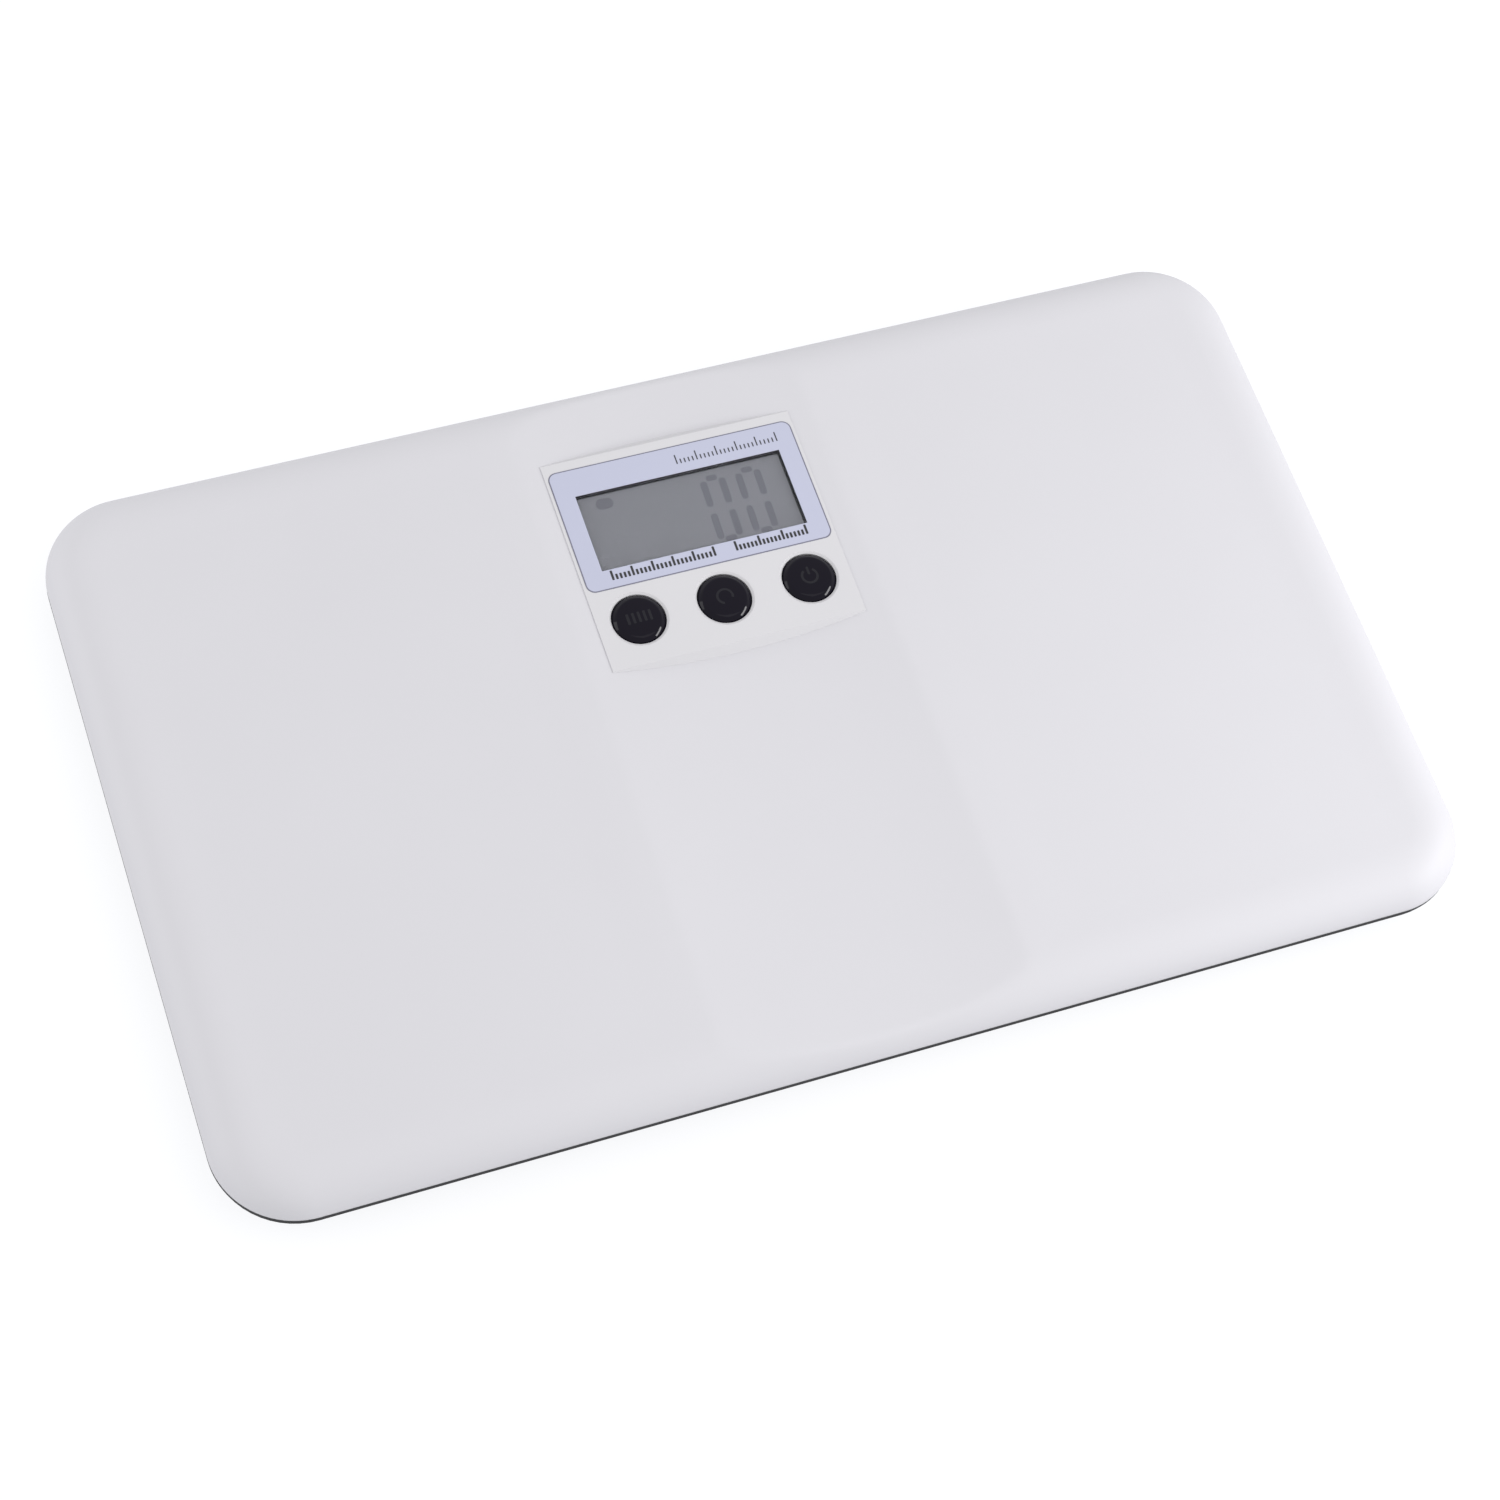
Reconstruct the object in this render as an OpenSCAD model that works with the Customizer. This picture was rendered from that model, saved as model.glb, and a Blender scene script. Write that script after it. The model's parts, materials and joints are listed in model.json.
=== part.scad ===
// Low platform scale for small animals: a moulded cover with a dished centre bridge and a display panel,
// a base tray that hangs on four load-cell feet, and a battery box that opens underneath.
// Millimetres. +X is the wide direction, +Y runs to the display end, +Z is up. Z = 0 is the floor.

/* [Platform] */
// Overall width of the platform
scale_w = 550; // [540:1:580]
// Overall depth of the platform
scale_d = 334; // [330:1:350]
// Plan radius of the corners
corner_r = 36; // [34:1:42]
// Height of the underside above the floor
base_z = 8; // [8:0.5:9]
// Height of the joint between the tray and the cover
rim_z = 22; // [22:0.5:22.5]
// Height of the two treads
tread_z = 40; // [39.8:0.1:40.3]
// Plan width of the rolled edge
edge_w = 18; // [16:1:19]
// Wall thickness of the cover
cover_t = 2.5; // [2:0.1:2.6]

/* [Bridge] */
// Distance from the middle to each crease of the centre bridge
crease_x = 68; // [66:1:72]
// Depth of the dished top of the bridge in its middle
dish_depth = 4.7; // [4.5:0.1:4.9]

/* [Display panel] */
// Width of the raised display panel
panel_w = 115.4; // [114:0.2:118]
// Distance from the back edge of the platform to the panel's top face
panel_back = 37.3; // [35:0.1:38]
// Depth of the panel's top face
panel_d = 104.4; // [102:0.1:107]
// Height of the panel's top face
panel_z = 39.1; // [39:0.1:39.4]
// Label width
label_w = 112.5; // [110:0.5:113]
// Label depth
label_d = 61.5; // [60:0.5:62]
// Width of the window in the label
window_w = 94.5; // [92:0.5:95]
// Depth of the window in the label
window_d = 38.5; // [36:0.5:39]
// Diameter of the push buttons
button_d = 23.7; // [22:0.1:24]
// Spacing of the push buttons
button_pitch = 39; // [36:0.5:40]

/* [Feet] */
// Distance from the platform's side to a foot's centre
foot_side = 60; // [58:1:64]
// Distance from the platform's front or back to a foot's centre
foot_end = 55; // [54:1:58]
// Diameter of a foot
foot_d = 46; // [44:1:46]

/* [Batteries] */
// Diameter of a cell
battery_d = 10.5; // [10.3:0.1:10.5]
// Length of a cell without its nub
battery_l = 43.5; // [43:0.1:43.7]
// Width of the battery door
door_w = 54; // [52:1:58]
// Thickness of the battery door
door_t = 2; // [1.8:0.1:2.2]

/* [Hidden] */
$fn = 64;

// Shared clearances: between pieces that stay together, and between pieces that move past each other
gap = 0.05;
slide_gap = 0.25;
// Overshoot of a cutting solid past the face that it opens
cut = 1;

// Plan centres of the corner arcs
corner_x = scale_w / 2 - corner_r;
corner_y = scale_d / 2 - corner_r;

// Dished bridge: a cylinder along Y that passes through both creases
dish_r = (pow(crease_x, 2) + pow(dish_depth, 2)) / (2 * dish_depth);
dish_z = tread_z - dish_depth;

// Tray
tray_t = 2.5;
floor_top = base_z + tray_t;
rim_inset = 0.6;
lip_inset = 3.4;
lip_t = 2;
lip_z = rim_z + 2.5;
band_z = rim_z - 4;
chamfer_w = 14;
rib_t = 1.6;
tray_rib_z = 20;
cover_rib_z = 26;

// Screw bosses between the tray and the cover
boss_x = [130, 252];
boss_y = [138, 55];
boss_top = 13.5;
screw_head_z = 11.3;
shank_r = 1.45;
pilot_r = 1.5;

// Feet, load cells and their brackets
foot_x = scale_w / 2 - foot_side;
foot_y = scale_d / 2 - foot_end;
well_r = foot_d / 2 + 0.7;
collar_t = 2.8;
collar_z = 13;
bracket_w = 62;
bracket_hole = 27;
cell_w = 34;
cell_t = 3;
cell_z = 14;
post_r = 4;

// Display stack, from the panel's face down to the board
panel_y1 = scale_d / 2 - panel_back;
panel_y0 = panel_y1 - panel_d;
panel_slope = 3.6;
plate_t = 2.3;
plate_z = panel_z - plate_t;
label_t = 0.3;
label_y1 = panel_y1 - 4.4;
label_y0 = label_y1 - label_d;
window_y1 = label_y1 - 13.7;
window_y0 = window_y1 - window_d;
window_y = (window_y0 + window_y1) / 2;
lens_z = panel_z - 1.8;
lens_t = 0.8;
button_y = label_y0 - 16.8;
button_x = [-button_pitch, 0, button_pitch];
button_hole_r = button_d / 2 + slide_gap;
button_top = panel_z + 1.5;
cap_flange_r = button_d / 2 + 1;
skirt_gap = 3.9;
skirt_t = 1.8;
board_z = 29.9;
board_t = 1.6;
board_top = board_z + board_t;
board_w = 102;
board_y0 = panel_y0 + 5;
board_y1 = panel_y1 - 4.5;
board_screw_x = 48.5;
board_screw_y = [board_y0 + 2.5, board_y1 - 4];
switch_h = 3.5;
plunger_r = 1.75;
plunger_h = 0.8;

// Battery box, at the front edge of the tray
battery_n = 4;
box_front = -scale_d / 2 + 18;
box_pitch = battery_d + 0.5;
box_back = box_front + battery_n * box_pitch + 1;
box_x = 24.6;
box_wall_x = door_w / 2 + 4;
box_top = 21.5;
box_roof_t = 2;
battery_z = base_z + door_t + 0.3 + battery_d / 2;
plate_in = box_x - 0.45;
nub_h = 1;
battery_shift = plate_in - gap - battery_l / 2 - nub_h;
door_back = box_back + 2;
tongue_w = 1.5;
tongue_z = base_z + 1.2;

// The centre of the foot at one corner: sx is -1 on the left, sy is -1 at the front
function foot_at(sx, sy) = [sx * foot_x, sy * foot_y, 0];
function battery_y(i) = box_front + 0.5 + box_pitch * (i + 0.5);

// ---- Shared shapes ----

// Rounded rectangle centred on the origin
module round_rect(w, d, r) {
    square([w - 2 * r, d], center = true);
    square([w, d - 2 * r], center = true);
    for (x = [-1, 1], y = [-1, 1])
        translate([x * (w / 2 - r), y * (d / 2 - r)])
            circle(r);
}

// Box given by its low and high corners
module box(low, high) {
    translate(low)
        cube(high - low);
}

// Carries a half profile (x outwards from the corner centres, y up) round the platform's outline
module round_platform(z0, z1) {
    box([-corner_x, -corner_y, z0], [corner_x, corner_y, z1]);
    for (s = [0, 180]) {
        rotate([0, 0, s])
            translate([corner_x, corner_y, 0])
                rotate([90, 0, 0])
                    linear_extrude(2 * corner_y)
                        children();
        rotate([0, 0, s])
            translate([-corner_x, corner_y, 0])
                rotate([90, 0, 90])
                    linear_extrude(2 * corner_x)
                        children();
        rotate([0, 0, s])
            translate([corner_x, corner_y, 0])
                rotate_extrude(angle = 90)
                    children();
        rotate([0, 0, s])
            translate([-corner_x, corner_y, 0])
                rotate([0, 0, 90])
                    rotate_extrude(angle = 90)
                        children();
    }
}

// Half profile of a platform with a rolled upper edge, t inside the outer skin
module rolled_profile(top, t, z0) {
    h = top - rim_z;
    r = (pow(edge_w, 2) + pow(h, 2)) / (2 * h);
    flat = corner_r - edge_w;
    translate([0, z0])
        square([flat, top - t - z0]);
    intersection() {
        translate([flat, z0])
            square([edge_w, top - z0]);
        translate([flat, top - r])
            circle(r - t, $fn = 128);
    }
}

module rolled_block(top, t, z0) {
    round_platform(z0, top - t)
        rolled_profile(top, t, z0);
}

// Solid inside the cover's outer skin, offset inwards by t
module cover_solid(t, z0) {
    difference() {
        rolled_block(tread_z, t, z0);
        dish_cutter(dish_r + t);
    }
}

// Cylinder that hollows the bridge
module dish_cutter(r) {
    translate([0, 0, dish_z + dish_r])
        rotate([90, 0, 0])
            cylinder(r = r, h = scale_d + 4 * cut, center = true, $fn = 720);
}

function unit(v) = v / norm(v);
// Direction of a route at point i: the bisector of the stretches on both sides
function heading(route, i) =
    i == 0 ? unit(route[1] - route[0]) :
    i == len(route) - 1 ? unit(route[i] - route[i - 1]) :
    unit(unit(route[i] - route[i - 1]) + unit(route[i + 1] - route[i]));
// Eight points round centre c in the plane of u and v
function ring(c, u, v, r) = [for (k = [0 : 7]) c + r * (cos(k * 45) * u + sin(k * 45) * v)];

// Closed tube through a list of eight-point rings
module tube(rings) {
    last = len(rings) - 1;
    sides = [for (i = [0 : last - 1], k = [0 : 7], half = [0, 1])
        let (a = i * 8 + k, b = i * 8 + (k + 1) % 8)
            half == 0 ? [a, a + 8, b] : [b, a + 8, b + 8]];
    first_cap = [for (k = [0 : 7]) k];
    last_cap = [for (k = [7 : -1 : 0]) last * 8 + k];
    polyhedron([for (r = rings) for (p = r) p], concat(sides, [first_cap, last_cap]), convexity = 6);
}

// Round wire along a route
module wire(route, r) {
    tube([for (i = [0 : len(route) - 1])
        let (t = heading(route, i), u = unit(cross(t, [1, -1, 1])))
            ring(route[i], u, cross(u, t), r)]);
}

// Pan-head screw with a cross recess: z = 0 under the head, shank up
module screw(shank, length, head, head_h) {
    difference() {
        union() {
            cylinder(r = shank, h = length, $fn = 24);
            translate([0, 0, -head_h])
                cylinder(r1 = head * 0.82, r2 = head, h = head_h, $fn = 32);
        }
        for (a = [0, 90])
            translate([0, 0, -head_h])
                rotate([0, 0, a])
                    cube([head * 1.1, head * 0.24, head_h * 1.1], center = true);
    }
}

// ---- Cover and display ----

module cover_boss_places() {
    for (i = [0, 1], sx = [-1, 1], sy = [-1, 1])
        translate([sx * boss_x[i], sy * boss_y[i], 0])
            children();
}

module top_cover() {
    ceiling = tread_z - cover_t + 0.1;
    color([0.87, 0.87, 0.88])
    difference() {
        union() {
            difference() {
                cover_solid(0, rim_z);
                cover_solid(cover_t, rim_z - cut);
            }
            for (s = [-1, 1]) {
                for (x = [100, 165, 230])
                    box([s * x - rib_t / 2, -125, cover_rib_z], [s * x + rib_t / 2, 125, ceiling]);
                for (y = [-125, -75, -25, 25, 75, 125])
                    box([min(s * 90, s * 245), y - rib_t / 2, cover_rib_z],
                        [max(s * 90, s * 245), y + rib_t / 2, ceiling]);
            }
            cover_boss_places()
                translate([0, 0, boss_top + gap])
                    cylinder(r = 4, h = ceiling - boss_top - gap);
        }
        cover_boss_places()
            translate([0, 0, boss_top - cut])
                cylinder(r = pilot_r, h = 16, $fn = 32);
        box([-panel_w / 2 + skirt_gap - 0.2, panel_y0 + 2.2, dish_z - 2 * cover_t],
            [panel_w / 2 - skirt_gap + 0.2, panel_y1 - 2.2, tread_z + cut]);
    }
}

// Raised plate that carries the label, the window and the buttons, with a skirt through the cover
module display_bezel() {
    x1 = panel_w / 2;
    sx = x1 - skirt_gap;
    sy0 = panel_y0 + 2.4;
    sy1 = panel_y1 - 2.4;
    color([0.87, 0.87, 0.86])
    difference() {
        union() {
            difference() {
                translate([-x1, 0, 0])
                    rotate([90, 0, 90])
                        linear_extrude(panel_w)
                            polygon([[panel_y0 - panel_slope - 0.4, dish_z - 0.4], [panel_y0, panel_z],
                                     [panel_y1, panel_z], [panel_y1 + panel_slope + 0.4, dish_z - 0.4]]);
                difference() {
                    box([-x1 - cut, panel_y0 - 10, dish_z - 2], [x1 + cut, panel_y1 + 10, panel_z + cut]);
                    dish_cutter(dish_r - 2 * gap);
                }
            }
            box([-sx, sy0, 31], [sx, sy1, panel_z - 0.5]);
            for (x = [-20, 20]) {
                box([x - 4, sy0 - 1.1, 31.2], [x + 4, sy0 + 0.1, 32.6]);
                box([x - 4, sy1 - 0.1, 31.2], [x + 4, sy1 + 1.1, 32.6]);
            }
        }
        // hollow of the skirt, up to the plate
        box([-sx + skirt_t, sy0 + skirt_t, 31 - cut], [sx - skirt_t, sy1 - skirt_t, plate_z]);
        // seat of the label
        translate([0, (label_y0 + label_y1) / 2, panel_z - label_t + gap])
            linear_extrude(cut)
                round_rect(label_w + 0.2, label_d + 0.2, 4.1);
        // window and its seat from below
        box([-window_w / 2, window_y0, plate_z - cut], [window_w / 2, window_y1, panel_z]);
        box([-window_w / 2 - 2.1, window_y0 - 2.1, plate_z - cut],
            [window_w / 2 + 2.1, window_y1 + 2.1, lens_z + lens_t + gap]);
        for (x = button_x)
            translate([x, button_y, 0]) {
                translate([0, 0, plate_z - cut])
                    cylinder(r = button_hole_r, h = plate_t + 2 * cut);
                translate([0, 0, panel_z - 0.6])
                    cylinder(r1 = button_hole_r, r2 = button_hole_r + 1.2, h = 0.65);
            }
    }
    // posts for the board's screws
    color([0.87, 0.87, 0.86])
    for (x = [-board_screw_x, board_screw_x], y = board_screw_y)
        translate([x, y, board_top + gap])
            difference() {
                cylinder(r = 2.4, h = plate_z - board_top);
                translate([0, 0, -cut])
                    cylinder(r = 0.95, h = 5, $fn = 24);
            }
}

module display_overlay() {
    color([0.78, 0.78, 0.85])
    translate([0, (label_y0 + label_y1) / 2, panel_z - label_t + 2 * gap])
        linear_extrude(label_t)
            difference() {
                round_rect(label_w, label_d, 4);
                translate([0, window_y - (label_y0 + label_y1) / 2])
                    square([window_w, window_d], center = true);
            }
}

module lcd_window() {
    color([0.8, 0.85, 0.88, 0.3])
    box([-window_w / 2 - 2, window_y0 - 2, lens_z], [window_w / 2 + 2, window_y1 + 2, lens_z + lens_t]);
}

// Two glass plates: the rear one reaches past the front one to carry the contacts
module lcd_glass() {
    color([0.52, 0.54, 0.52])
    union() {
        box([-window_w / 2 - 1.6, window_y0 - 1.6, lens_z - 1.2],
            [window_w / 2 + 1.6, window_y1 + 1.6, lens_z - 0.1]);
        box([-window_w / 2 - 1.6, window_y0 - 5, lens_z - 2.3],
            [window_w / 2 + 1.6, window_y1 + 1.6, lens_z - 1.2]);
    }
}

module lcd_reflector() {
    color([0.75, 0.76, 0.74])
    box([-window_w / 2, window_y0, lens_z - 2.7], [window_w / 2, window_y1, lens_z - 2.35]);
}

module lcd_frame() {
    x1 = window_w / 2 + 3.4;
    color([0.15, 0.15, 0.16])
    difference() {
        box([-x1, window_y0 - 7.2, board_top + gap], [x1, window_y1 + 3.4, lens_z - 1.3]);
        box([-window_w / 2 - 1.8, window_y0 - 5.2, lens_z - 2.35],
            [window_w / 2 + 1.8, window_y1 + 1.8, lens_z]);
        box([-window_w / 2 + 2, window_y0 + 2, board_top - cut],
            [window_w / 2 - 2, window_y1 - 2, lens_z]);
        box([-window_w / 2 - gap, window_y0 - gap, lens_z - 2.75],
            [window_w / 2 + gap, window_y1 + gap, lens_z]);
        box([-window_w / 2 - 0.1, window_y0 - 4.7, board_top - cut],
            [window_w / 2 + 0.1, window_y0 - 1.9, lens_z]);
    }
}

// Rubber contact strip between the board and the glass
module zebra_strip() {
    color([0.9, 0.55, 0.45])
    box([-window_w / 2, window_y0 - 4.5, board_top + gap], [window_w / 2, window_y0 - 2.1, lens_z - 2.35]);
}

module circuit_board() {
    color([0.1, 0.4, 0.2])
    difference() {
        box([-board_w / 2, board_y0, board_z], [board_w / 2, board_y1, board_top]);
        for (x = [-board_screw_x, board_screw_x], y = board_screw_y)
            translate([x, y, board_z - cut])
                cylinder(r = 1.2, h = board_t + 2 * cut, $fn = 24);
    }
}

// Parts soldered to the underside of the board
module board_parts() {
    below = board_z - gap;
    color([0.12, 0.12, 0.13]) {
        translate([0, window_y, below - 1.4])
            cylinder(r1 = 6, r2 = 8, h = 1.4);
        box([18, window_y - 4, below - 1.6], [28, window_y + 4, below]);
        for (i = [0 : 5])
            box([-30 + 5 * i, window_y - 18, below - 0.6], [-28 + 5 * i, window_y - 16.8, below]);
    }
    color("silver")
    translate([-22, window_y + 2, below - 2.5])
        cylinder(r = 2.4, h = 2.5, $fn = 32);
    color("ivory")
    for (sx = [-1, 1], y = [button_y - 8, button_y + 6])
        box([sx * 36 - 4, y - 3, below - 3.2], [sx * 36 + 4, y + 3, below]);
}

module switch_housings() {
    color([0.2, 0.2, 0.21])
    for (x = button_x)
        translate([x, button_y, board_top + gap])
            difference() {
                translate([-3, -3, 0])
                    cube([6, 6, switch_h]);
                translate([0, 0, switch_h - 1.2])
                    cylinder(r = plunger_r + gap, h = 2, $fn = 24);
            }
}

module board_screws() {
    color("silver")
    for (x = [-board_screw_x, board_screw_x], y = board_screw_y)
        translate([x, y, board_z - gap])
            screw(0.9, 5, 1.9, 1.3);
}

// Domed cap with a flange under the panel and a rib that bears on the switch
module button_cap(x) {
    r = button_d / 2;
    skirt_z = plate_z - 1.5;
    plunger_z = board_top + gap + switch_h + plunger_h - 0.3;
    dome = 1.5;
    dome_r = (pow(r, 2) + pow(dome, 2)) / (2 * dome);
    color([0.09, 0.09, 0.11])
    translate([x, button_y, 0]) {
        difference() {
            union() {
                intersection() {
                    translate([0, 0, button_top - dome_r])
                        sphere(r = dome_r, $fn = 256);
                    translate([0, 0, skirt_z])
                        cylinder(r = r, h = 10);
                }
                translate([0, 0, skirt_z])
                    cylinder(r = cap_flange_r, h = 1.2);
            }
            translate([0, 0, skirt_z - cut])
                cylinder(r = r - 1.6, h = panel_z - 1.4 - skirt_z + cut);
        }
        translate([0, 0, plunger_z + gap])
            cylinder(r = 2.2, h = panel_z - 1.2 - plunger_z, $fn = 32);
    }
}

module switch_plunger(x) {
    color([0.85, 0.82, 0.7])
    translate([x, button_y, board_top + gap + switch_h - 0.3])
        cylinder(r = plunger_r, h = plunger_h, $fn = 24);
}

// ---- Tray ----

module tray_walls() {
    flat = corner_r - chamfer_w;
    rim = corner_r - rim_inset;
    lip = corner_r - lip_inset;
    difference() {
        round_platform(base_z, lip_z)
            polygon([[0, base_z], [flat, base_z], [rim, band_z], [rim, rim_z - gap], [lip, rim_z - gap],
                     [lip, lip_z], [0, lip_z]]);
        round_platform(floor_top, lip_z + cut)
            polygon([[0, floor_top], [flat - 0.8, floor_top], [lip - lip_t, band_z - 0.4],
                     [lip - lip_t, lip_z + cut], [0, lip_z + cut]]);
    }
}

module tray_ribs() {
    x1 = boss_x[1] - 12;
    y1 = scale_d / 2 - chamfer_w;
    z0 = floor_top - 0.1;
    for (x = [-150, -75, 75, 150])
        box([x - rib_t / 2, -y1, z0], [x + rib_t / 2, y1, tray_rib_z]);
    for (y = [-55, 0, 55])
        box([-x1, y - rib_t / 2, z0], [x1, y + rib_t / 2, tray_rib_z]);
}

module foot_places() {
    for (sx = [-1, 1], sy = [-1, 1])
        translate(foot_at(sx, sy))
            children();
}

module bracket_screw_places() {
    for (x = [-bracket_hole, bracket_hole], y = [-bracket_hole, bracket_hole])
        translate([x, y, 0])
            children();
}

module base_tray() {
    y_mouth = -scale_d / 2;
    color([0.08, 0.08, 0.09])
    difference() {
        union() {
            tray_walls();
            tray_ribs();
            foot_places() {
                translate([0, 0, base_z])
                    cylinder(r = well_r + collar_t, h = collar_z - base_z - gap, $fn = 96);
                bracket_screw_places()
                    translate([0, 0, floor_top - 0.1])
                        cylinder(r = 4, h = collar_z - gap - floor_top + 0.1);
            }
            cover_boss_places()
                translate([0, 0, base_z])
                    cylinder(r = 5.5, h = boss_top - base_z);
            box([-box_wall_x, box_front - 2, base_z + 0.5], [box_wall_x, box_back + 5, box_top + box_roof_t]);
        }
        foot_places() {
            translate([0, 0, base_z - cut])
                cylinder(r = well_r, h = 10, $fn = 96);
            bracket_screw_places()
                translate([0, 0, floor_top - 0.5])
                    cylinder(r = 1.25, h = 10, $fn = 24);
        }
        cover_boss_places() {
            translate([0, 0, base_z - cut])
                cylinder(r = 3.75, h = screw_head_z - base_z + cut, $fn = 48);
            translate([0, 0, base_z])
                cylinder(r = 1.8, h = 10, $fn = 32);
        }
        // battery box, open downwards
        box([-box_x, box_front, base_z - cut], [box_x, box_back, box_top]);
        // seat of the door and the grooves for its tongues, open at the front edge
        box([-door_w / 2 - slide_gap, y_mouth, base_z - cut],
            [door_w / 2 + slide_gap, door_back + slide_gap, base_z + door_t + 0.2]);
        box([-door_w / 2 - tongue_w - 0.4, y_mouth, tongue_z - 0.2],
            [door_w / 2 + tongue_w + 0.4, door_back - 1.5, base_z + door_t + 0.2]);
        // wire slot through the box's back wall
        box([14, box_back - cut, box_top - 4], [20, box_back + 6, box_top + box_roof_t + cut]);
    }
}

module cover_screws() {
    color("silver")
    cover_boss_places()
        translate([0, 0, screw_head_z - gap])
            screw(shank_r, 12, 3.3, 2);
}

module battery_door() {
    y0 = -scale_d / 2 + chamfer_w;
    slope = (chamfer_w - rim_inset) / (band_z - base_z);
    color([0.08, 0.08, 0.09])
    difference() {
        union() {
            translate([-door_w / 2, 0, 0])
                rotate([90, 0, 90])
                    linear_extrude(door_w)
                        polygon([[y0, base_z], [door_back, base_z], [door_back, base_z + door_t],
                                 [y0 - door_t * slope, base_z + door_t]]);
            box([-door_w / 2 - tongue_w, y0 + 2, tongue_z], [door_w / 2 + tongue_w, door_back - 2, base_z + door_t]);
        }
        // finger grip ridges
        for (i = [0 : 5])
            box([-12, y0 + 6 + 2.4 * i, base_z - cut], [12, y0 + 7.2 + 2.4 * i, base_z + 0.6]);
    }
}

// ---- Feet and load cells ----

module cell_bracket(sx, sy) {
    color([0.85, 0.85, 0.83])
    translate(foot_at(sx, sy))
        difference() {
            union() {
                translate([0, 0, collar_z])
                    linear_extrude(2.5)
                        round_rect(bracket_w, bracket_w, 5);
                translate([0, 0, collar_z])
                    linear_extrude(7)
                        round_rect(cell_w + 8, cell_w + 8, 3);
            }
            translate([0, 0, collar_z - cut])
                linear_extrude(cell_z + cell_t - collar_z + cut + gap)
                    square(cell_w + 0.4, center = true);
            translate([0, 0, cell_z])
                linear_extrude(cell_t + 1.2)
                    square(cell_w - 14, center = true);
            bracket_screw_places()
                translate([0, 0, collar_z - cut])
                    cylinder(r = 1.7, h = 6, $fn = 24);
            // cable notch towards the middle of the platform
            box([min(0, -sx * 30), -1.6, cell_z + cell_t], [max(0, -sx * 30), 1.6, 21]);
        }
}

// Square steel spring plate: the outer frame sits in the bracket, the inner tongue bears on the foot
module load_cell(sx, sy) {
    color([0.7, 0.7, 0.72])
    translate(foot_at(sx, sy) + [0, 0, cell_z])
        union() {
            linear_extrude(cell_t)
                difference() {
                    round_rect(cell_w, cell_w, 2);
                    difference() {
                        square([24, 24], center = true);
                        square([18, 18], center = true);
                        translate([0, sy * 10])
                            square([12, 8], center = true);
                    }
                }
            translate([0, sy * 6, cell_t - 0.1])
                linear_extrude(0.7)
                    square([6, 4], center = true);
        }
}

module foot_cap(sx, sy) {
    r = foot_d / 2;
    color([0.1, 0.1, 0.11])
    translate(foot_at(sx, sy))
        rotate_extrude($fn = 96)
            polygon([[0, 2.4], [r - 5, 2.4], [r - 5, 1.6], [r - 2, 1.6], [r, 3.6], [r, 11.5], [r - 2, 11.5],
                     [r - 2, 5.2], [post_r + 3, 5.2], [post_r, 9], [post_r, cell_z - gap], [0, cell_z - gap]]);
}

module foot_pad(sx, sy) {
    r = foot_d / 2 - 5 - gap;
    color([0.16, 0.16, 0.17])
    translate(foot_at(sx, sy))
        difference() {
            rotate_extrude($fn = 96)
                polygon([[0, 0], [r - 1, 0], [r, 1], [r, 2.4 - gap], [0, 2.4 - gap]]);
            // grip grooves in the sole
            for (ring = [5, 10])
                translate([0, 0, -cut])
                    difference() {
                        cylinder(r = ring + 0.6, h = cut + 0.7);
                        translate([0, 0, -cut])
                            cylinder(r = ring - 0.6, h = 4);
                    }
        }
}

module cell_screws() {
    color("silver")
    foot_places()
        bracket_screw_places()
            translate([0, 0, collar_z + 2.5 + gap])
                mirror([0, 0, 1])
                    screw(1.2, 5, 2.6, 1.8);
}

// Cable from a load cell over the tray's ribs to a socket under the board
module gauge_cable(sx, sy) {
    r = 1.1;
    z = tray_rib_z + r + gap;
    x0 = sx * (foot_x - 14);
    y0 = sy * foot_y;
    socket_y = sy < 0 ? button_y - 8 : button_y + 6;
    turn_x = sx * 110;
    color([0.75, 0.75, 0.76])
    wire([[x0, y0, cell_z + cell_t + r + 0.2], [sx * (foot_x - 24), y0, cell_z + cell_t + r + 0.2],
          [sx * (foot_x - 36), y0, z], [turn_x, sy < 0 ? -70 : 100, z], [sx * 60, socket_y, z],
          [sx * 44, socket_y, 24.5], [sx * 36, socket_y, 26.5 - r]], r);
}

// ---- Batteries ----

// Cell i: every second one is turned round
module battery(i) {
    flip = i % 2 == 0 ? 0 : 180;
    color([0.75, 0.62, 0.3])
    translate([-flat_side(i) * battery_shift, battery_y(i), battery_z])
        rotate([0, 90, flip])
            union() {
                translate([0, 0, -battery_l / 2])
                    cylinder(r = battery_d / 2, h = battery_l, $fn = 48);
                translate([0, 0, battery_l / 2 - 0.1])
                    cylinder(r = 1.9, h = nub_h + 0.1, $fn = 32);
            }
}

// Conical spring: a helix of three turns that narrows towards the cell
spring_wire_r = 0.35;
spring_turns = 3;
spring_base_r = 4.2;
spring_tip_r = 2.2;
module cone_spring(h) {
    steps = 16 * spring_turns;
    tube([for (i = [0 : steps])
        let (a = i * 360 / 16, out = [cos(a), sin(a), 0],
             r = spring_base_r + (spring_tip_r - spring_base_r) * i / steps)
            ring(r * out + [0, 0, h * i / steps], out, [0, 0, 1], spring_wire_r)]);
}

// The flat end of cell i faces the side given by flat_side
function flat_side(i) = i % 2 == 0 ? -1 : 1;

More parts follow.
